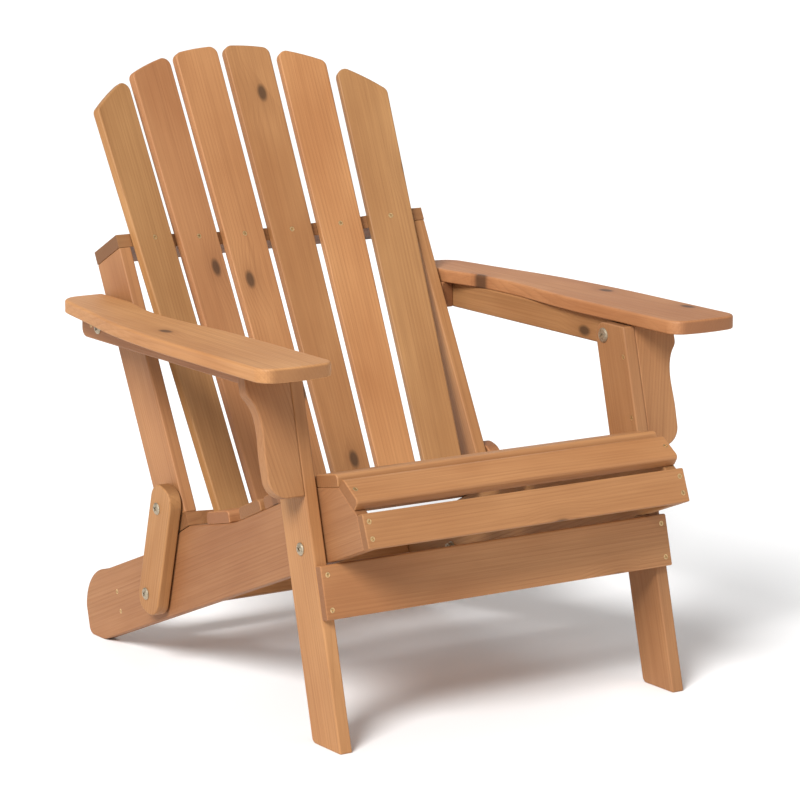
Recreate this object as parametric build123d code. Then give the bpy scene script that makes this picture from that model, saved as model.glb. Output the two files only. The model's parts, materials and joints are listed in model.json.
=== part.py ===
"""Folding wooden adirondack chair.

Millimetres.  X runs across the chair, +Y runs to the rear, +Z is up, and the
seat faces -Y.  The origin is on the floor, under the middle of the chair.

The frame of each side is a stack of boards that lie in three upright planes,
so that they can fold past each other: stringer and back upright inside, leg
and rear link next, and arm rail outside.  Side outlines are drawn as (y, z)
with y measured from the toe of the front leg; place() moves every part back
by TOE_TO_ORIGIN on export.
"""

import os
from math import atan2, cos, degrees, radians, sin, sqrt, tan

from build123d import *

# ---------------------------------------------------------------- dimensions
TOE_TO_ORIGIN = 392.0      # from the toe of the front leg to the origin

BOARD = 20.0               # legs, uprights, stringers, links and rails
PLANE_GAP = 3.0            # washer gap between stringer and leg
RAIL_GAP = 1.0             # gap between leg and arm rail
INNER_FACE = 250.0         # inner face of stringers and uprights
FRAME_FACE = INNER_FACE + BOARD            # their outer face
LEG_INNER = FRAME_FACE + PLANE_GAP
LEG_FACE = LEG_INNER + BOARD
RAIL_INNER = LEG_FACE + RAIL_GAP
RAIL_FACE = RAIL_INNER + BOARD

SEAT_SLAT = 18.0           # thickness of the seat slats
BACK_SLAT = 14.0           # thickness of the back slats
FACING = 14.0              # apron and riser
SLAT_ROUND = 7.0           # rounded upper edges of the seat slats

SEAT_SLOPE = 21.2          # bottom edge of the stringers, degrees
LEG_RAKE = 14.2            # front legs lean back, degrees from upright
BACK_RAKE = 27.3           # back leans back, degrees from upright

LEG_WIDTH = 70.0
LEG_TOP = 516.0
LEG_END_ROUND = 19.0       # round about the arm pin, to turn under the arm
APRON_HEIGHT = 75.0
APRON_TOP = 250.0          # rear upper edge of the apron, on the leg's face
RISER_HEIGHT = 49.0
CROSSBAR_WIDTH = 46.0

LINK_FRONT = 36.0          # link's edges, in front of and behind its two pins
LINK_REAR = 21.5
LINK_ABOVE = 38.0          # its ends, beyond the upper and lower pin
LINK_BELOW = 28.0
LINK_ROUND = 25.0

UPRIGHT_WIDTH = 76.0
UPRIGHT_FOOT = (458.0, 247.0)              # lower front corner of the upright
UPRIGHT_LENGTH = 410.0
REST_GAP = 1.0             # lower rail swings clear of the stringers by this
BACK_DISH = 33.0           # how far the middle of the back is dished
SLAT_RISE = 306.0          # top of the back above the top rail's middle
ARCH_RADIUS = 384.0        # crown of the back, seen from the front
SLAT_CORNER = 13.0         # rounded upper corners of the back slats

ARM_BOTTOM = 518.0
RAIL_HEIGHT = 40.0

PIN_LEG = (100.0, 267.0)   # leg on stringer
PIN_ARM = (178.4, 497.0)   # arm rail on leg, LEG_END_ROUND from top and rear edge
PIN_BACK = (634.0, 497.0)  # arm rail on upright
PIN_LINK_TOP = (501.0, 247.0)              # link on upright
PIN_LINK_FOOT = (537.0, 112.0)             # link on stringer

BOLT = 8.0                 # pivot bolt shank
RUNNING_FIT = 0.05         # radial clearance of a turning hole
SCREW_HEAD = 7.5
SCREW_SHANK = 3.6
SCREW_LENGTH = 30.0
PLAY = 0.3                 # axial clearance at the turning faces
NUT_WASHER = 1.5           # thickness of the washer under a nut
NUT_FACE = INNER_FACE - NUT_WASHER         # where the pivots' nuts bear
BOLT_END = NUT_FACE - 9.0  # end of the pivot bolts, beyond their nuts

parts = {}


# ------------------------------------------------------------------- helpers
def place(name, shape):
    """Keep a finished part under its node name, moved to the chair's origin."""
    parts[name] = Pos(0, -TOE_TO_ORIGIN, 0) * shape


def both_sides(name, shape):
    """Place a part drawn on the +X side, and its mirror image on the -X side."""
    place("right_" + name, shape)
    place("left_" + name, mirror(shape, about=Plane.YZ))


def mirrored_pair(shapes):
    """The given solids together with their mirror images, as one group."""
    return Compound(shapes + [mirror(shape, about=Plane.YZ) for shape in shapes])


def side_board(face, inner, thickness=BOARD):
    """Extrude a (y, z) face outwards along X from the inner plane."""
    return extrude(Plane.YZ.offset(inner) * face, amount=thickness)


def polygon(*points):
    return make_face(Polyline(*points, close=True))


def round_corners(face, radii):
    """Round the corners nearest to the given points: {(x, y): radius}."""
    for point, radius in radii.items():
        target = Vector(*point)
        corner = min(face.vertices(), key=lambda v: (Vector(v.X, v.Y) - target).length)
        face = fillet(corner, radius)
    return face


def along(start, angle, distance):
    """A point at a distance from start, at an angle from +Y towards +Z."""
    return (start[0] + distance * cos(radians(angle)),
            start[1] + distance * sin(radians(angle)))


def bore(pin, radius, inner, outer):
    """A cylinder along X, centred on a (y, z) point, between two X planes."""
    middle = (inner + outer) / 2
    return Pos(middle, pin[0], pin[1]) * Rot(0, 90, 0) * Cylinder(radius, outer - inner)


def turned(profile, location):
    """Turn an (r, h) profile about its own axis and set it at a location."""
    face = Plane.XZ * polygon(*profile)
    return location * revolve(face, Axis.Z)


def facing(point, direction):
    """The location whose +Z looks along direction from a point."""
    return Plane(origin=point, z_dir=direction).location


def cross_recess(span, width, top, depth):
    """The cutter of a cross-shaped driver recess, from top downwards."""
    arm = Pos(0, 0, top - depth / 2 + 0.5) * Box(span, width, depth + 1)
    return Rot(0, 0, 25) * (arm + Rot(0, 0, 90) * arm)


def wood_screw(point, direction):
    """A countersunk screw: its head is flush at point and faces direction."""
    head = SCREW_HEAD / 2
    shank = SCREW_SHANK / 2
    profile = [(0, -0.2), (head, -0.2), (head, -0.6), (shank, -2.8),
               (shank, -SCREW_LENGTH + 6), (0, -SCREW_LENGTH)]
    where = facing(point, direction)
    return turned(profile, where) - where * cross_recess(4.6, 1.2, -0.2, 1.5)


def screw_hole(point, direction):
    """The hole that wood_screw() fills, its shank a hair wider."""
    head = SCREW_HEAD / 2
    shank = SCREW_SHANK / 2
    profile = [(0, 1), (head, 1), (head, -0.6), (shank, -2.8),
               (shank, -SCREW_LENGTH + 6), (0, -SCREW_LENGTH)]
    return turned(profile, facing(point, direction))


def drilled(board, screws):
    """Cut the holes of the screws, given as (point, direction), from a board."""
    for point, direction in screws:
        board = board - screw_hole(point, direction)
    return board


def pivot_bolt(pin, head_face, end_face, head=9.0):
    """A bolt along X with a low domed, cross-recessed head on head_face."""
    out = 1 if head_face > end_face else -1
    length = abs(head_face - end_face)
    shank = BOLT / 2
    profile = [(0, 3.3), (head * 0.45, 3.1), (head * 0.8, 2.3), (head, 0.9),
               (head, 0), (shank, 0), (shank, -length), (0, -length)]
    where = facing((head_face, pin[0], pin[1]), (out, 0, 0))
    return turned(profile, where) - where * cross_recess(head * 0.95, 1.9, 3.3, 2.2)


def hex_nut(pin, face, thickness=6.5, across=13.0):
    """A nut on the X plane at face, towards the middle of the chair."""
    outline = RegularPolygon(across / 2, 6, major_radius=False)
    blank = extrude(outline, amount=thickness) - Cylinder(BOLT / 2, 3 * thickness)
    return facing((face, pin[0], pin[1]), (-1, 0, 0)) * blank


def washer(pin, face, thickness, radius=9.0):
    """A washer along X, from face outwards."""
    ring = bore(pin, radius, face, face + thickness)
    return ring - bore(pin, BOLT / 2, face - 1, face + thickness + 1)


# ------------------------------------------------- side view reference lines
SEAT_RISE = tan(radians(SEAT_SLOPE))
HEEL_Y = 712.0             # where the stringer's bottom edge reaches the floor
LEG_LEAN = tan(radians(LEG_RAKE))
LEG_FRONT = (-cos(radians(LEG_RAKE)), sin(radians(LEG_RAKE)))
LEG_UP = (sin(radians(LEG_RAKE)), cos(radians(LEG_RAKE)))
BACK_UP = (sin(radians(BACK_RAKE)), cos(radians(BACK_RAKE)))
BACK_DEEP = (cos(radians(BACK_RAKE)), -sin(radians(BACK_RAKE)))


def stringer_bottom(y):
    return (HEEL_Y - y) * SEAT_RISE


def leg_front_y(z):
    return z * LEG_LEAN


def back_point(deep, up):
    """(y, z) of a point given from the upright's foot, into and up the back."""
    return (UPRIGHT_FOOT[0] + deep * BACK_DEEP[0] + up * BACK_UP[0],
            UPRIGHT_FOOT[1] + deep * BACK_DEEP[1] + up * BACK_UP[1])


NOSE_Y = -24.0
NOSE_FOOT = (NOSE_Y, stringer_bottom(NOSE_Y))
NOSE_TOP = along(NOSE_FOOT, 90 - SEAT_SLOPE, RISER_HEIGHT)
CREST_FRONT = (40.0, 361.0)
CREST_REAR = (100.0, 349.5)
SEAT_KNEE = (318.0, 258.5)
FOOT_SHOULDER = (706.0, 111.0)             # where the rear foot's bend begins
FOOT_BEND = (752.0, 87.0)
FOOT_BACK = (768.0, 42.0)                  # and where it ends
FOOT_TIP = (757.0, 0.0)
HEEL = (HEEL_Y, 0.0)
REST_FRONT = along(back_point(0, -BOARD - REST_GAP), 180 - BACK_RAKE, 2.0)
REST_REAR = along(REST_FRONT, -BACK_RAKE, 157.0)


# ----------------------------------------------------------------- seat frame
def stringer():
    """Long side board: seat curve on top, rest for the back, rear foot."""
    outline = [
        Line(NOSE_FOOT, NOSE_TOP),
        Line(NOSE_TOP, CREST_FRONT),
        Line(CREST_FRONT, CREST_REAR),
        Line(CREST_REAR, SEAT_KNEE),
        Line(SEAT_KNEE, REST_FRONT),
        Line(REST_FRONT, REST_REAR),
        Line(REST_REAR, FOOT_SHOULDER),
        ThreePointArc(FOOT_SHOULDER, FOOT_BEND, FOOT_BACK),
        Line(FOOT_BACK, FOOT_TIP),
        Line(FOOT_TIP, HEEL),
        Line(HEEL, NOSE_FOOT),
    ]
    face = make_face(outline)
    face = round_corners(face, {FOOT_TIP: 14.0, HEEL: 40.0, REST_REAR: 60.0,
                                CREST_REAR: 40.0, SEAT_KNEE: 150.0})
    board = side_board(face, INNER_FACE)
    for pin in (PIN_LEG, PIN_LINK_FOOT):
        board -= bore(pin, BOLT / 2, INNER_FACE - 1, FRAME_FACE + 1)
    return board


def slat_section(width, thickness, round_front, round_rear):
    """Section of a board across the stringers, its front edge at 0."""
    face = polygon((0, 0), (width, 0), (width, thickness), (0, thickness))
    return round_corners(face, {(0, thickness): round_front, (width, thickness): round_rear})


def lay_slat(face, start, angle):
    """Set a slat's section at a side-view point and run it across the chair."""
    section = Plane(origin=(-FRAME_FACE, start[0], start[1]),
                    x_dir=(0, cos(radians(angle)), sin(radians(angle))),
                    z_dir=(1, 0, 0))
    return extrude(section * face, amount=2 * FRAME_FACE)


# the stretches of the stringer's top that carry slats, and the slats on each
# as (distance from the start of the stretch, width)
SEAT_STRETCHES = [
    (NOSE_TOP, CREST_FRONT, [(8.0, 47.0)]),
    (CREST_FRONT, CREST_REAR, [(0.0, 59.0)]),
    (CREST_REAR, SEAT_KNEE, [(9.0, 62.0), (82.0, 62.0), (155.0, 62.0)]),
    (SEAT_KNEE, REST_FRONT, [(13.0, 65.0)]),
]


def seat_stations():
    """Start point, angle and width of every seat slat, front to rear."""
    stations = []
    for start, end, slats in SEAT_STRETCHES:
        angle = degrees(atan2(end[1] - start[1], end[0] - start[0]))
        stations += [(along(start, angle, offset), angle, width) for offset, width in slats]
    return stations


def seat_screws():
    """One screw through each end of each seat slat."""
    screws = []
    for start, angle, width in seat_stations():
        foot = along(start, angle, width / 2)
        top = along(foot, angle + 90, SEAT_SLAT)
        up = along((0, 0), angle + 90, 1)
        screws.append(((INNER_FACE + 11, top[0], top[1]), (0, up[0], up[1])))
    return screws


def riser_screws():
    """Two screws through each end of the riser into the stringer's nose."""
    screws = []
    for height in (0.27, 0.76):
        back = along(NOSE_FOOT, 90 - SEAT_SLOPE, RISER_HEIGHT * height)
        front = along(back, 180 - SEAT_SLOPE, FACING)
        out = along((0, 0), 180 - SEAT_SLOPE, 1)
        screws.append(((INNER_FACE + 11, front[0], front[1]), (0, out[0], out[1])))
    return screws


def crossbar_screws():
    """Two screws through each stringer into the rear crossbar's end grain."""
    return [((FRAME_FACE, 669, 84), (1, 0, 0)), ((FRAME_FACE, 658, 56), (1, 0, 0))]


def other_side(screws):
    """The mirror images of screws given as (point, direction)."""
    return [((-p[0], p[1], p[2]), (-d[0], d[1], d[2])) for p, d in screws]


def build_seat():
    side = drilled(stringer(), seat_screws() + riser_screws() + crossbar_screws())
    both_sides("stringer", side)

    for number, (start, angle, width) in enumerate(seat_stations(), start=1):
        section = slat_section(width, SEAT_SLAT, SLAT_ROUND, SLAT_ROUND)
        slat = lay_slat(section, start, angle)
        screw = [seat_screws()[number - 1]]
        place(f"seat_slat_{number}", drilled(slat, screw + other_side(screw)))

    riser = lay_slat(slat_section(RISER_HEIGHT, FACING, 2.0, 3.0), NOSE_FOOT, 90 - SEAT_SLOPE)
    place("seat_riser", drilled(riser, riser_screws() + other_side(riser_screws())))

    bar_middle = Pos(0, 663.5, 70) * Rot(-SEAT_SLOPE, 0, 0)
    crossbar = bar_middle * Box(2 * INNER_FACE, BOARD, CROSSBAR_WIDTH)
    place("rear_crossbar", drilled(crossbar, crossbar_screws() + other_side(crossbar_screws())))

    one_side = seat_screws() + riser_screws() + crossbar_screws()
    place("seat_screws", mirrored_pair([wood_screw(*screw) for screw in one_side]))

    pins = (PIN_LEG, PIN_LINK_FOOT)
    place("seat_pivot_bolts", mirrored_pair(
        [pivot_bolt(pin, LEG_FACE + PLAY, BOLT_END) for pin in pins]))
    place("seat_pivot_nuts", mirrored_pair([hex_nut(pin, NUT_FACE) for pin in pins]))
    place("seat_pivot_washers", mirrored_pair(
        [washer(pin, FRAME_FACE, PLANE_GAP - PLAY) for pin in pins]
        + [washer(pin, NUT_FACE, NUT_WASHER) for pin in pins]))


# ----------------------------------------------------------- front leg frame
def leg_point(deep, z):
    """(y, z) at height z, deep behind the leg's front edge across its width."""
    return (leg_front_y(z) + deep / LEG_UP[1], z)


def corbel_screws():
    """Screws from the leg's inner face into the corbel's edge."""
    return [((LEG_INNER, *leg_point(10, 472)), (-1, 0, 0)),
            ((LEG_INNER, *leg_point(10, 386)), (-1, 0, 0))]


def apron_screws():
    """Screws through the apron's ends into the legs' front edges."""
    screws = []
    for z in (237.0, 190.0):
        point = (leg_front_y(z) + LEG_FRONT[0] * FACING, z + LEG_FRONT[1] * FACING)
        screws.append(((LEG_FACE - BOARD / 2, *point), (0, *LEG_FRONT)))
    return screws


def corbel():
    """Bracket under the arm: a shaped board flush with the leg's front edge."""
    # (distance out from the leg, height along the leg) in the plane of its front
    top = (LEG_TOP + BOARD) / LEG_UP[1]
    outline = [
        Line((0, 354), (0, top)),
        Line((0, top), (70, top)),
        Line((70, top), (70, 505)),
        Spline([(70, 505), (64, 492), (55, 470), (53, 444), (54.5, 412), (54, 384)],
               tangents=[(0, -1), (0, -1)]),
        ThreePointArc((54, 384), (45, 362), (24, 354)),
        Line((24, 354), (0, 354)),
    ]
    plane = Plane(origin=(LEG_FACE, 0, 0), x_dir=(1, 0, 0), z_dir=(0, *LEG_FRONT))
    blank = extrude(plane * make_face(outline), amount=-BOARD)
    return split(blank, Plane.XY.offset(LEG_TOP), keep=Keep.BOTTOM)


def build_legs():
    toe_depth = LEG_WIDTH / LEG_UP[1]
    face = polygon((0, 0), (toe_depth, 0),
                   (toe_depth + LEG_TOP * LEG_LEAN, LEG_TOP), (LEG_TOP * LEG_LEAN, LEG_TOP))
    face = round_corners(face, {(toe_depth, 0): 9.0,
                                (toe_depth + LEG_TOP * LEG_LEAN, LEG_TOP): LEG_END_ROUND})
    leg = side_board(face, LEG_INNER)
    leg -= bore(PIN_LEG, BOLT / 2 + RUNNING_FIT, LEG_INNER - 1, LEG_FACE + 1)
    leg -= bore(PIN_ARM, BOLT / 2, LEG_INNER - 1, LEG_FACE + 1)
    both_sides("leg", drilled(leg, corbel_screws() + apron_screws()))
    both_sides("corbel", drilled(corbel(), corbel_screws()))

    upper = (leg_front_y(APRON_TOP), APRON_TOP)
    lower = (upper[0] - LEG_UP[0] * APRON_HEIGHT, upper[1] - LEG_UP[1] * APRON_HEIGHT)
    section = Plane(origin=(-LEG_FACE, *lower), x_dir=(0, *LEG_UP), z_dir=(1, 0, 0))
    apron_face = slat_section(APRON_HEIGHT, FACING, 2.0, 3.0)
    apron = extrude(section * apron_face, amount=2 * LEG_FACE)
    place("front_apron", drilled(apron, apron_screws() + other_side(apron_screws())))

    place("leg_screws", mirrored_pair(
        [wood_screw(*screw) for screw in corbel_screws() + apron_screws()]))

    place("leg_arm_bolts", mirrored_pair([pivot_bolt(PIN_ARM, LEG_INNER, LEG_FACE, 11.0)]))


# ----------------------------------------------------------------------- arms
def arm_screws():
    """Screws up through the rail into the arm board, and into the spacer."""
    rail_middle = (RAIL_INNER + RAIL_FACE) / 2
    up_through = [((rail_middle, y, ARM_BOTTOM - RAIL_HEIGHT + 18.0), (0, 0, -1))
                  for y in (230.0, 400.0, 570.0)]
    into_spacer = [((RAIL_FACE, y, 498.0), (1, 0, 0)) for y in (612.0, 656.0)]
    return up_through, into_spacer


def arm_board():
    """The arm seen from above: broad in front, narrowing behind the back."""
    outline = [
        Line((283, 44), (283, 210)),
        Spline([(283, 210), (287, 330), (296, 450), (289, 540), (276, 600)],
               tangents=[(0, 1), (-0.15, 1)]),
        Line((276, 600), (276, 689)),
        Line((276, 689), (318, 689)),
        ThreePointArc((318, 689), (340, 681), (352, 658)),
        Spline([(352, 658), (365, 580), (385, 468), (394, 375), (399, 240)],
               tangents=[(0.2, -1), (0, -1)]),
        Line((399, 240), (399, 44)),
        ThreePointArc((399, 44), (392, 27), (376, 19)),
        ThreePointArc((376, 19), (342, 16), (304, 19)),
        ThreePointArc((304, 19), (289, 27), (283, 44)),
    ]
    board = extrude(Pos(0, 0, ARM_BOTTOM) * make_face(outline), amount=BOARD)
    upper_edges = board.faces().sort_by(Axis.Z)[-1].edges()
    return fillet(upper_edges, 4.0)


def build_arms():
    up_through, into_spacer = arm_screws()
    low = ARM_BOTTOM - RAIL_HEIGHT
    end_round = RAIL_HEIGHT / 2 - 0.5
    front = PIN_ARM[0] - end_round
    face = polygon((front, low), (684, low), (684, ARM_BOTTOM), (front, ARM_BOTTOM))
    face = round_corners(face, {(684, low): 13.0, (front, low): end_round,
                                (front, ARM_BOTTOM): end_round})
    rail = side_board(face, RAIL_INNER)
    rail -= bore(PIN_ARM, BOLT / 2, RAIL_INNER - 1, RAIL_FACE + 1)
    rail -= bore(PIN_BACK, BOLT / 2, RAIL_INNER - 1, RAIL_FACE + 1)
    for point, _ in up_through:
        rail -= Pos(point[0], point[1], low + 8) * Cylinder(5.0, 20.0)
    rail = drilled(rail, up_through + into_spacer)

    spacer_face = polygon((600, low), (668, low), (668, ARM_BOTTOM), (600, ARM_BOTTOM))
    spacer = side_board(spacer_face, LEG_INNER, RAIL_INNER - LEG_INNER)
    spacer -= bore(PIN_BACK, BOLT / 2, LEG_INNER - 1, RAIL_INNER + 1)
    spacer = drilled(spacer, into_spacer)

    both_sides("arm_board", drilled(arm_board(), up_through))
    both_sides("arm_rail", rail)
    both_sides("arm_spacer", spacer)
    both_sides("arm_screws", Compound([wood_screw(*s) for s in up_through + into_spacer]))

    both_sides("arm_back_bolt", pivot_bolt(PIN_BACK, RAIL_FACE, BOLT_END))
    both_sides("arm_back_nut", hex_nut(PIN_BACK, NUT_FACE))
    both_sides("arm_washers", Compound([
        washer(PIN_BACK, FRAME_FACE + PLAY, PLANE_GAP - PLAY),
        washer(PIN_BACK, NUT_FACE, NUT_WASHER - PLAY)]))
    both_sides("arm_bolt_end", bore(PIN_ARM, BOLT / 2, RAIL_INNER, RAIL_FACE + 9.0))
    inward_nut = hex_nut(PIN_ARM, RAIL_FACE)
    both_sides("arm_front_nut", Pos(2 * RAIL_FACE, 0, 0) * mirror(inward_nut, about=Plane.YZ))


# ----------------------------------------------------------------------- back
END_HALF = 248.0           # half width of the dished part of the rails
DISH_RADIUS = (END_HALF ** 2 + BACK_DISH ** 2) / (2 * BACK_DISH)
RAIL_DEPTH = UPRIGHT_WIDTH

SLAT_COUNT = 3             # on each side of the middle
SLAT_WIDTH = 71.0          # at the top rail
SLAT_TAPER = 0.021         # gain in width for each mm up the back
SLAT_GAP = 14.0            # between neighbouring slats, all the way up
SLAT_LET_IN = 0.7          # the rails are cut so that the slats seat flat
SLAT_TAIL = 27.0           # a slat's lower end, below the foot of the upright


def slat_edge(index, up, outer):
    """X of a slat's edge at a height above the top rail's middle."""
    width = SLAT_WIDTH + SLAT_TAPER * up
    return SLAT_GAP / 2 + index * (width + SLAT_GAP) + (width if outer else 0)


BACK_PLANE_AT_TOP_RAIL = Plane(
    origin=(0, *back_point(0, UPRIGHT_LENGTH + BOARD / 2)),
    x_dir=(1, 0, 0), z_dir=(0, -BACK_DEEP[0], -BACK_DEEP[1]))


def dished_rail(up, thickness):
    """A board across the uprights' ends, its front edge dished for the slats."""
    outline = [
        Line((-FRAME_FACE, 0), (-END_HALF, 0)),
        ThreePointArc((-END_HALF, 0), (0, BACK_DISH), (END_HALF, 0)),
        Line((END_HALF, 0), (FRAME_FACE, 0)),
        Line((FRAME_FACE, 0), (FRAME_FACE, RAIL_DEPTH)),
        Line((FRAME_FACE, RAIL_DEPTH), (-FRAME_FACE, RAIL_DEPTH)),
        Line((-FRAME_FACE, RAIL_DEPTH), (-FRAME_FACE, 0)),
    ]
    foot = back_point(0, up)
    plane = Plane(origin=(0, *foot), x_dir=(1, 0, 0), z_dir=(0, *BACK_UP))
    return extrude(plane * make_face(outline), amount=thickness)


def dish_depth(x):
    """How far behind the uprights' front edge the rails' edge lies at x."""
    return BACK_DISH - DISH_RADIUS + sqrt(DISH_RADIUS ** 2 - x ** 2)


def slat_plane(index):
    """The plane of a slat's back face, its origin at the slat's inner edge."""
    inner = slat_edge(index, 0, False)
    outer = slat_edge(index, 0, True)
    turn = atan2(dish_depth(inner) - dish_depth(outer), outer - inner)
    rail = BACK_PLANE_AT_TOP_RAIL
    origin = rail.from_local_coords((inner, 0, -dish_depth(inner) - SLAT_LET_IN))
    across = Vector(cos(turn), 0, 0) + rail.z_dir * sin(turn)
    out = Vector(-sin(turn), 0, 0) + rail.z_dir * cos(turn)
    return Plane(origin=origin, x_dir=across, z_dir=out)


def crown(x):
    """Height of the arched top of the back above the top rail's middle."""
    return SLAT_RISE - ARCH_RADIUS + sqrt(ARCH_RADIUS ** 2 - x ** 2)


def back_slat(index):
    """One slat of the +X half, counted from the middle outwards."""
    tail = -(UPRIGHT_LENGTH + BOARD / 2 + SLAT_TAIL)
    shift = slat_edge(index, 0, False)
    top_inner = slat_edge(index, crown(shift), False)
    top_outer = slat_edge(index, crown(slat_edge(index, 0, True)), True)
    middle = (top_inner + top_outer) / 2
    corners = [(slat_edge(index, tail, False) - shift, tail),
               (top_inner - shift, crown(top_inner)),
               (top_outer - shift, crown(top_outer)),
               (slat_edge(index, tail, True) - shift, tail)]
    outline = [
        Line(corners[0], corners[1]),
        ThreePointArc(corners[1], (middle - shift, crown(middle)), corners[2]),
        Line(corners[2], corners[3]),
        Line(corners[3], corners[0]),
    ]
    face = round_corners(make_face(outline), {corners[1]: SLAT_CORNER, corners[2]: SLAT_CORNER})
    return extrude(slat_plane(index) * face, amount=BACK_SLAT)


def slat_screws(index):
    """A slat's screws into the top rail and the lower rail."""
    plane = slat_plane(index)
    screws = []
    for up in (0.0, -(UPRIGHT_LENGTH + BOARD)):
        middle = (slat_edge(index, up, False) + slat_edge(index, up, True)) / 2
        local = (middle - slat_edge(index, 0, False), up, BACK_SLAT)
        screws.append((tuple(plane.from_local_coords(local)), tuple(plane.z_dir)))
    return screws


def upright_screws():
    """Screws through the rails into the uprights' end grain."""
    middle = INNER_FACE + BOARD / 2
    screws = []
    for deep in (20.0, 58.0):
        top = back_point(deep, UPRIGHT_LENGTH + BOARD)
        foot = back_point(deep, -BOARD)
        screws.append(((middle, *top), (0, *BACK_UP)))
        screws.append(((middle, *foot), (0, -BACK_UP[0], -BACK_UP[1])))
    return screws


def build_back():
    corners = [back_point(0, 0), back_point(UPRIGHT_WIDTH, 0),
               back_point(UPRIGHT_WIDTH, UPRIGHT_LENGTH), back_point(0, UPRIGHT_LENGTH)]
    upright = side_board(polygon(*corners), INNER_FACE)
    upright -= bore(PIN_LINK_TOP, BOLT / 2 + RUNNING_FIT, INNER_FACE - 1, FRAME_FACE + 1)
    upright -= bore(PIN_BACK, BOLT / 2 + RUNNING_FIT, INNER_FACE - 1, FRAME_FACE + 1)
    both_sides("upright", drilled(upright, upright_screws()))

    top_rail = dished_rail(UPRIGHT_LENGTH, BOARD)
    lower_rail = dished_rail(-BOARD, BOARD)
    screws = upright_screws()
    for index in range(SLAT_COUNT):
        slat = back_slat(index)
        other_slat = mirror(slat, about=Plane.YZ)
        top_rail = top_rail - slat - other_slat
        lower_rail = lower_rail - slat - other_slat
        slat = drilled(slat, slat_screws(index))
        place(f"back_slat_{SLAT_COUNT - index}", mirror(slat, about=Plane.YZ))
        place(f"back_slat_{SLAT_COUNT + 1 + index}", slat)
        screws += slat_screws(index)
    holes = screws + other_side(screws)
    place("top_rail", drilled(top_rail, holes))
    place("lower_rail", drilled(lower_rail, holes))
    place("back_screws", mirrored_pair([wood_screw(*screw) for screw in screws]))


# ---------------------------------------------------------------------- links
def build_links():
    lean = degrees(atan2(PIN_LINK_TOP[1] - PIN_LINK_FOOT[1],
                         PIN_LINK_TOP[0] - PIN_LINK_FOOT[0]))
    head = along(PIN_LINK_TOP, lean, LINK_ABOVE)
    foot = along(PIN_LINK_FOOT, lean, -LINK_BELOW)
    corners = [along(foot, lean + 90, LINK_FRONT), along(foot, lean - 90, LINK_REAR),
               along(head, lean - 90, LINK_REAR), along(head, lean + 90, LINK_FRONT)]
    face = round_corners(polygon(*corners), {corner: LINK_ROUND for corner in corners})
    link = side_board(face, LEG_INNER)
    link -= bore(PIN_LINK_TOP, BOLT / 2, LEG_INNER - 1, LEG_FACE + 1)
    link -= bore(PIN_LINK_FOOT, BOLT / 2 + RUNNING_FIT, LEG_INNER - 1, LEG_FACE + 1)
    both_sides("link", link)
    both_sides("link_bolt", pivot_bolt(PIN_LINK_TOP, LEG_FACE, BOLT_END))
    both_sides("link_nut", hex_nut(PIN_LINK_TOP, NUT_FACE))
    both_sides("link_washers", Compound([
        washer(PIN_LINK_TOP, FRAME_FACE + PLAY, PLANE_GAP - PLAY),
        washer(PIN_LINK_TOP, NUT_FACE, NUT_WASHER - PLAY)]))


build_seat()
build_legs()
build_arms()
build_back()
build_links()

os.makedirs("parts", exist_ok=True)
for node, shape in parts.items():
    export_step(shape, f"parts/{node}.step")
    box = shape.bounding_box()
    print(node, [round(v, 1) for v in (*box.min, *box.max)])
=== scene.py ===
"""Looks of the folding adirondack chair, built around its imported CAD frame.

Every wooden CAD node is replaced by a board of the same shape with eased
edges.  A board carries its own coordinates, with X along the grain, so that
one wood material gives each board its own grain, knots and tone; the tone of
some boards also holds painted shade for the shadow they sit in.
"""

import json
import math
import random

import bmesh
import bpy
import numpy as np
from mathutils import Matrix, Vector


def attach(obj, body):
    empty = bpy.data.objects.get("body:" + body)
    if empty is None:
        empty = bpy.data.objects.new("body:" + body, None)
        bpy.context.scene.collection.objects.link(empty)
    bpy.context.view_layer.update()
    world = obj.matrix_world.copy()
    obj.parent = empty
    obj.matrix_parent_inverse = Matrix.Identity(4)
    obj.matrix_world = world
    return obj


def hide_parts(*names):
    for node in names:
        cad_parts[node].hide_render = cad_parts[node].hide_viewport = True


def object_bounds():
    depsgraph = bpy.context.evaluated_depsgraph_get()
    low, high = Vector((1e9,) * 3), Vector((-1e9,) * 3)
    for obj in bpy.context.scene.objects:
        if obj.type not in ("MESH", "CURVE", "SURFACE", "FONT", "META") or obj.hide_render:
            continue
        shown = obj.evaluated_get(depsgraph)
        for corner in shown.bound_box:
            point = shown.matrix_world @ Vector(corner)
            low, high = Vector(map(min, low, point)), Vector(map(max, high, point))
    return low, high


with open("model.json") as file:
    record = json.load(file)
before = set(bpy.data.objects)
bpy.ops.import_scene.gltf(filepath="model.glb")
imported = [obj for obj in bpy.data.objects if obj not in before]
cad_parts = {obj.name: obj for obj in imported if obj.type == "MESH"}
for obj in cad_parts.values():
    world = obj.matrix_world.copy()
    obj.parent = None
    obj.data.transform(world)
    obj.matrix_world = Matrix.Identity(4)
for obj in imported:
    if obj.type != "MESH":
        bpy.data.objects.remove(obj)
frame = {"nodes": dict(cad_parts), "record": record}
record = frame["record"]
cad_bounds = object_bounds()

EASE = 0.0022              # how far a board's long edges are rounded
EASE_STEPS = 3
SHARP = math.radians(28)   # edges that turn by more than this are eased
HOLE_SPAN = 0.016          # outlines smaller than this are screw holes
WELD = 1e-5
COPLANAR = math.radians(0.5)           # faces that turn by less than this are joined
SOFT_TURN = math.radians(40)           # edges that turn by more than this stay crisp
IN_PLANE = 0.999           # cosine between two directions that count as the same
BROAD = 1.5e-3             # faces larger than this, in square metres, are shaded flat

WOOD_SLOTS = ("frame_wood", "slat_wood")
slot_of = {row["node"]: row["material_slot"] for row in record["subparts"]}
body_of = {node: body for body, nodes in record["behaviour"]["bodies"].items() for node in nodes}


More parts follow.
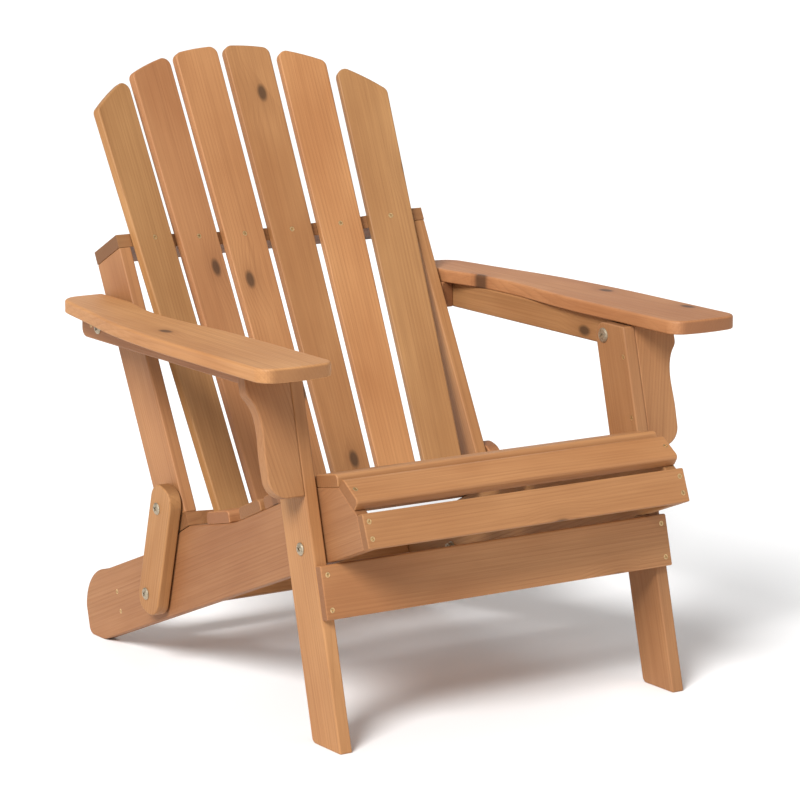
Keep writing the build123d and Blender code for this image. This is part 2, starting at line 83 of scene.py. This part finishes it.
# ------------------------------------------------------------ node tree tools
def new_material(name):
    material = bpy.data.materials.new(name)
    material.use_nodes = True
    tree = material.node_tree
    tree.nodes.clear()
    output = tree.nodes.new("ShaderNodeOutputMaterial")
    shader = tree.nodes.new("ShaderNodeBsdfPrincipled")
    tree.links.new(shader.outputs["BSDF"], output.inputs["Surface"])
    return material, tree, shader


def add(tree, kind, **settings):
    """A node with its properties set."""
    node = tree.nodes.new(kind)
    for key, value in settings.items():
        setattr(node, key, value)
    return node


def feed(tree, socket, value):
    """Link an output to a socket, or set the socket to a constant."""
    if hasattr(value, "is_output"):
        tree.links.new(value, socket)
    else:
        socket.default_value = value


def math_node(tree, operation, first, second=0.0):
    node = add(tree, "ShaderNodeMath", operation=operation)
    feed(tree, node.inputs[0], first)
    feed(tree, node.inputs[1], second)
    return node.outputs[0]


def remap(tree, value, low, high, to_low=0.0, to_high=1.0):
    node = add(tree, "ShaderNodeMapRange", clamp=True)
    tree.links.new(value, node.inputs["Value"])
    for name, number in (("From Min", low), ("From Max", high),
                         ("To Min", to_low), ("To Max", to_high)):
        node.inputs[name].default_value = number
    return node.outputs["Result"]


def mix_color(tree, factor, first, second):
    node = add(tree, "ShaderNodeMix", data_type="RGBA", blend_type="MIX")
    node.clamp_factor = True
    for number, value in ((0, factor), (6, first), (7, second)):    # the colour sockets
        feed(tree, node.inputs[number], value)
    return node.outputs[2]


def scaled(tree, vector, scale):
    node = add(tree, "ShaderNodeVectorMath", operation="MULTIPLY")
    tree.links.new(vector, node.inputs[0])
    node.inputs[1].default_value = scale
    return node.outputs[0]


def noise(tree, vector, scale, detail=3.0, roughness=0.55):
    node = add(tree, "ShaderNodeTexNoise", noise_dimensions="3D")
    tree.links.new(vector, node.inputs["Vector"])
    node.inputs["Scale"].default_value = scale
    node.inputs["Detail"].default_value = detail
    node.inputs["Roughness"].default_value = roughness
    node.inputs["Distortion"].default_value = 0.0
    return node.outputs["Fac"]


def bump_normal(tree, height, strength, distance):
    bump = add(tree, "ShaderNodeBump")
    bump.inputs["Strength"].default_value = strength
    bump.inputs["Distance"].default_value = distance
    tree.links.new(height, bump.inputs["Height"])
    return bump.outputs["Normal"]


# ---------------------------------------------------------------------- wood
LIGHT = (0.465, 0.226, 0.090, 1)       # early wood
MIDDLE = (0.355, 0.152, 0.054, 1)
DARK = (0.200, 0.075, 0.024, 1)        # late wood lines
KNOT = (0.072, 0.034, 0.014, 1)
END_GRAIN = (0.210, 0.086, 0.030, 1)


RINGS_ACROSS = 170.0       # growth rings in each metre of width, and of thickness
RINGS_DEEP = 90.0
KNOT_CELLS = (5.0, 9.0, 9.0)           # places for a knot, in each metre of length and width
KNOT_FREE = 0.80           # share of those places that have no knot


def knots(tree, coord):
    """Masks of the sparse oval knots: their dark cores, and the grain around them."""
    stretched = scaled(tree, coord, KNOT_CELLS)
    cells = add(tree, "ShaderNodeTexVoronoi", voronoi_dimensions="2D", feature="F1")
    tree.links.new(stretched, cells.inputs["Vector"])
    cells.inputs["Scale"].default_value = 1.0
    cells.inputs["Randomness"].default_value = 1.0
    rare = add(tree, "ShaderNodeSeparateColor")
    tree.links.new(cells.outputs["Color"], rare.inputs[0])
    chosen = math_node(tree, "GREATER_THAN", rare.outputs[0], KNOT_FREE)
    near = remap(tree, cells.outputs["Distance"], 0.0, 0.34, 1.0, 0.0)
    core = remap(tree, cells.outputs["Distance"], 0.045, 0.085, 1.0, 0.0)
    return math_node(tree, "MULTIPLY", core, chosen), math_node(tree, "MULTIPLY", near, chosen)


def wood_material():
    """Oiled fir: growth rings along the board, fibres, blotches, knots and end grain."""
    material, tree, shader = new_material("oiled_fir")
    coord = add(tree, "ShaderNodeAttribute", attribute_name="grain").outputs["Vector"]
    tone = add(tree, "ShaderNodeAttribute", attribute_name="tone").outputs["Vector"]
    tones = add(tree, "ShaderNodeSeparateXYZ")
    tree.links.new(tone, tones.inputs[0])
    lightness, hue, end_grain = tones.outputs

    knot_core, knot_halo = knots(tree, coord)
    wander = noise(tree, scaled(tree, coord, (1.1, 5.0, 5.0)), 1.0, 2.0)
    bend = math_node(tree, "ADD", math_node(tree, "MULTIPLY", wander, 5.2),
                     math_node(tree, "MULTIPLY", knot_halo, 2.6))

    # growth rings: bands across the width that wander along the board
    split_coord = add(tree, "ShaderNodeSeparateXYZ")
    tree.links.new(coord, split_coord.inputs[0])
    across = math_node(tree, "MULTIPLY", split_coord.outputs[1], RINGS_ACROSS)
    deep = math_node(tree, "MULTIPLY", split_coord.outputs[2], RINGS_DEEP)
    phase = math_node(tree, "ADD", math_node(tree, "ADD", across, deep), bend)
    wave = math_node(tree, "FRACT", phase)
    late = math_node(tree, "POWER", wave, 3.2)
    uneven = noise(tree, scaled(tree, coord, (2.0, 22.0, 22.0)), 1.0, 3.0)
    rings = math_node(tree, "MULTIPLY", late, remap(tree, uneven, 0.34, 0.66, 0.15, 1.0))

    # fine fibres and pores that run the whole board
    fibre = noise(tree, scaled(tree, coord, (7.0, 520.0, 520.0)), 1.0, 3.0, 0.6)
    streak = noise(tree, scaled(tree, coord, (2.2, 120.0, 120.0)), 1.0, 4.0, 0.6)
    blotch = noise(tree, scaled(tree, coord, (3.5, 9.0, 9.0)), 1.0, 3.0)

    base = mix_color(tree, remap(tree, blotch, 0.30, 0.70), MIDDLE, LIGHT)
    base = mix_color(tree, math_node(tree, "MULTIPLY", rings, 0.34), base, DARK)
    base = mix_color(tree, remap(tree, streak, 0.46, 0.74, 0.0, 0.22), base, DARK)
    base = mix_color(tree, remap(tree, fibre, 0.40, 0.75, 0.0, 0.22), base, DARK)
    halo = math_node(tree, "MULTIPLY", math_node(tree, "POWER", knot_halo, 2.4), 0.55)
    base = mix_color(tree, halo, base, DARK)
    base = mix_color(tree, math_node(tree, "MULTIPLY", knot_core, 0.85), base, KNOT)
    base = mix_color(tree, math_node(tree, "MULTIPLY", end_grain, 0.75), base, END_GRAIN)

    tuned = add(tree, "ShaderNodeHueSaturation")
    tree.links.new(base, tuned.inputs["Color"])
    tree.links.new(hue, tuned.inputs["Hue"])
    tree.links.new(lightness, tuned.inputs["Value"])
    tree.links.new(tuned.outputs["Color"], shader.inputs["Base Color"])

    rough = math_node(tree, "ADD", remap(tree, fibre, 0.3, 0.7, 0.50, 0.62),
                      math_node(tree, "MULTIPLY", rings, 0.06))
    tree.links.new(rough, shader.inputs["Roughness"])
    shader.inputs["Specular IOR Level"].default_value = 0.38

    relief = math_node(tree, "ADD", math_node(tree, "MULTIPLY", rings, 0.5),
                       math_node(tree, "MULTIPLY", fibre, 0.6))
    relief = math_node(tree, "SUBTRACT", relief, math_node(tree, "MULTIPLY", knot_core, 0.5))
    tree.links.new(bump_normal(tree, relief, 0.35, 0.0006), shader.inputs["Normal"])
    return material


# --------------------------------------------------------------------- metal
def metal_material(name, color, roughness):
    """Zinc plating: a cloudy colour with duller patches, and a fine grit."""
    material, tree, shader = new_material(name)
    place = add(tree, "ShaderNodeTexCoord").outputs["Object"]
    cloud = noise(tree, place, 420.0, 3.0)
    grit = noise(tree, place, 2600.0, 2.0)
    dull = tuple(channel * 0.55 for channel in color[:3]) + (1,)
    shade = mix_color(tree, remap(tree, cloud, 0.35, 0.7), color, dull)
    tree.links.new(shade, shader.inputs["Base Color"])
    shader.inputs["Metallic"].default_value = 0.9
    tree.links.new(remap(tree, grit, 0.3, 0.7, roughness, roughness + 0.2),
                   shader.inputs["Roughness"])
    tree.links.new(bump_normal(tree, grit, 0.2, 0.0001), shader.inputs["Normal"])
    return material


# -------------------------------------------------------------------- boards
def main_axes(points):
    """The board's axes, longest first, from the spread of its vertices."""
    cloud = np.array(points)
    cloud -= cloud.mean(0)
    values, vectors = np.linalg.eigh(cloud.T @ cloud)
    order = values.argsort()[::-1]
    return [Vector(vectors[:, index]) for index in order]


def hole_edges(edges):
    """Sharp edges whose connected outline is no larger than a screw hole."""
    left = set(edges)
    small = set()
    while left:
        loop = [left.pop()]
        for edge in loop:
            for vert in edge.verts:
                for other in vert.link_edges:
                    if other in left:
                        left.discard(other)
                        loop.append(other)
        points = [vert.co for edge in loop for vert in edge.verts]
        spans = [max(p[axis] for p in points) - min(p[axis] for p in points) for axis in range(3)]
        if max(spans) < HOLE_SPAN:
            small.update(loop)
    return small


def widest_direction(mesh):
    """The direction that the largest flat area of the mesh faces."""
    totals = []
    for face in mesh.faces:
        for total in totals:
            if abs(total[0].dot(face.normal)) > IN_PLANE:
                total[1] += face.calc_area()
                break
        else:
            totals.append([face.normal.copy(), face.calc_area()])
    return max(totals, key=lambda total: total[1])[0]


def reach(points, axis):
    """How far points extend along an axis."""
    distances = [point.dot(axis) for point in points]
    return max(distances) - min(distances)


def grain_axis(mesh):
    """The directions along the grain, across it, and out of the widest face."""
    flat = widest_direction(mesh)
    axes = main_axes([vert.co for vert in mesh.verts])
    best = min(axes[:2], key=lambda axis: abs(axis.dot(flat)))
    along = (best - flat * best.dot(flat)).normalized()
    side = flat.cross(along)
    points = [vert.co for vert in mesh.verts]
    if reach(points, side) > reach(points, along):
        along, side = side, along
    return along, side, flat


def eased_board(node, material):
    """A copy of a CAD board with eased edges and its own grain coordinates."""
    source = frame["nodes"][node]
    work = bmesh.new()
    work.from_mesh(source.data)
    bmesh.ops.remove_doubles(work, verts=work.verts, dist=WELD)
    bmesh.ops.dissolve_limit(work, angle_limit=COPLANAR, verts=work.verts,
                             edges=work.edges, delimit={"NORMAL"})
    work.normal_update()
    along, side, flat = grain_axis(work)
    sharp = [edge for edge in work.edges
             if len(edge.link_faces) == 2 and edge.calc_face_angle(0) > SHARP]
    holes = hole_edges(sharp)
    easing = [edge for edge in sharp if edge not in holes and edge.is_convex]
    bmesh.ops.bevel(work, geom=easing, offset=EASE, segments=EASE_STEPS, profile=0.5,
                    affect="EDGES", clamp_overlap=True, loop_slide=False)
    data = bpy.data.meshes.new(node + "_board")
    work.to_mesh(data)
    work.free()
    chance = random.Random(node)
    offset = Vector([chance.uniform(-40, 40) for _ in range(3)])
    grain = data.attributes.new("grain", "FLOAT_VECTOR", "POINT")
    tone = data.attributes.new("tone", "FLOAT_VECTOR", "CORNER")
    for vert in data.vertices:
        local = Vector((vert.co.dot(along), vert.co.dot(side), vert.co.dot(flat)))
        grain.data[vert.index].vector = local + offset
    # each board's random tone times the table, which also carries painted shade for boards that
    # sit in shadow
    lightness = chance.uniform(0.90, 1.12) * TONES_AND_PAINTED_SHADE.get(node, 1.0)
    hue = 0.5 + chance.uniform(-0.006, 0.006)
    for polygon in data.polygons:
        facing_end = abs(polygon.normal.dot(along))
        cut = min(1.0, max(0.0, facing_end * 4 - 3))        # 0 on the sides, 1 on the ends
        for corner in polygon.loop_indices:
            tone.data[corner].vector = (lightness, hue, cut)
    data.materials.append(material)
    data.set_sharp_from_angle(angle=SOFT_TURN)
    for polygon in data.polygons:
        in_flat_face = abs(polygon.normal.dot(flat)) > IN_PLANE
        polygon.use_smooth = polygon.area < BROAD and not in_flat_face
    board = bpy.data.objects.new(node + "_board", data)
    bpy.context.collection.objects.link(board)
    flatten = board.modifiers.new("flat_faces", "WEIGHTED_NORMAL")
    flatten.weight = 100
    flatten.keep_sharp = True
    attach(board, body_of[node])
    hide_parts(node)
    return board


# boards that are plainly lighter or darker than their neighbours: partly their own tone, partly
# painted shade, as on the left stringer and the right leg, which are darkened for the shadow they
# sit in
TONES_AND_PAINTED_SHADE = {
    "left_arm_board": 1.22, "right_arm_board": 1.00, "back_slat_1": 0.98, "back_slat_2": 1.05,
    "back_slat_3": 1.08, "back_slat_4": 1.08, "back_slat_5": 1.12, "back_slat_6": 0.97,
    "front_apron": 1.04, "top_rail": 0.80, "lower_rail": 0.84, "left_stringer": 0.80,
    "right_stringer": 0.85, "right_leg": 0.80, "left_link": 0.93, "right_corbel": 0.90,
    "right_arm_rail": 0.92,
}


def build_boards():
    wood = wood_material()
    for node, slot in slot_of.items():
        if slot in WOOD_SLOTS:
            eased_board(node, wood)


def finish_metal():
    metals = {"zinc_screw": metal_material("zinc_screw", (0.86, 0.60, 0.30, 1), 0.34),
              "zinc_bolt": metal_material("zinc_bolt", (0.56, 0.47, 0.34, 1), 0.36)}
    for node, slot in slot_of.items():
        if slot in metals:
            mesh = frame["nodes"][node].data
            mesh.materials.clear()
            mesh.materials.append(metals[slot])


# ----------------------------------------------------------- floor and lights
def pale_floor():
    bpy.ops.mesh.primitive_plane_add(size=30)
    floor = bpy.context.object
    floor.name = "floor"
    material, tree, shader = new_material("pale_floor")
    shader.inputs["Base Color"].default_value = (0.96, 0.96, 0.96, 1)
    shader.inputs["Roughness"].default_value = 0.9
    floor.data.materials.append(material)


def area_light(name, place, target, size, power):
    data = bpy.data.lights.new(name, "AREA")
    data.shape = "SQUARE"
    data.size = size
    data.energy = power
    lamp = bpy.data.objects.new(name, data)
    bpy.context.collection.objects.link(lamp)
    lamp.location = place
    lamp.rotation_euler = (Vector(target) - Vector(place)).to_track_quat("-Z", "Y").to_euler()


def studio():
    centre = (cad_bounds[0] + cad_bounds[1]) / 2
    sun = bpy.data.lights.new("key_light", "SUN")
    sun.energy = 3.6
    sun.angle = math.radians(24)
    key = bpy.data.objects.new("key_light", sun)
    bpy.context.collection.objects.link(key)
    key.rotation_euler = Vector((0.66, 0.38, -0.65)).to_track_quat("-Z", "Y").to_euler()
    area_light("front_fill", (1.8, -4.2, 1.6), centre, 3.0, 14)
    area_light("rear_light", (1.5, 3.2, 3.0), centre, 2.6, 20)
    world = bpy.data.worlds.new("studio")
    bpy.context.scene.world = world
    world.use_nodes = True
    background = world.node_tree.nodes["Background"]
    background.inputs["Color"].default_value = (1, 1, 1, 1)
    background.inputs["Strength"].default_value = 0.45
    bpy.context.scene.view_settings.view_transform = "Standard"     # keeps the white floor white


# -------------------------------------------------------------------- camera
VIEW_AZIMUTH = math.radians(33.12)     # from straight ahead, towards the chair's -X side
VIEW_HEIGHT = math.radians(11.03)      # above the horizon
VIEW_PLACE = (-2.7476, -4.3024, 1.3901)
LENS = 159.36
SENSOR = 36.0


def camera():
    data = bpy.data.cameras.new("camera")
    data.lens = LENS
    data.sensor_width = SENSOR
    view = bpy.data.objects.new("camera", data)
    bpy.context.collection.objects.link(view)
    view.location = VIEW_PLACE
    view.rotation_euler = (math.radians(90) - VIEW_HEIGHT, 0, -VIEW_AZIMUTH)
    bpy.context.scene.camera = view


camera()
build_boards()
finish_metal()
pale_floor()
studio()
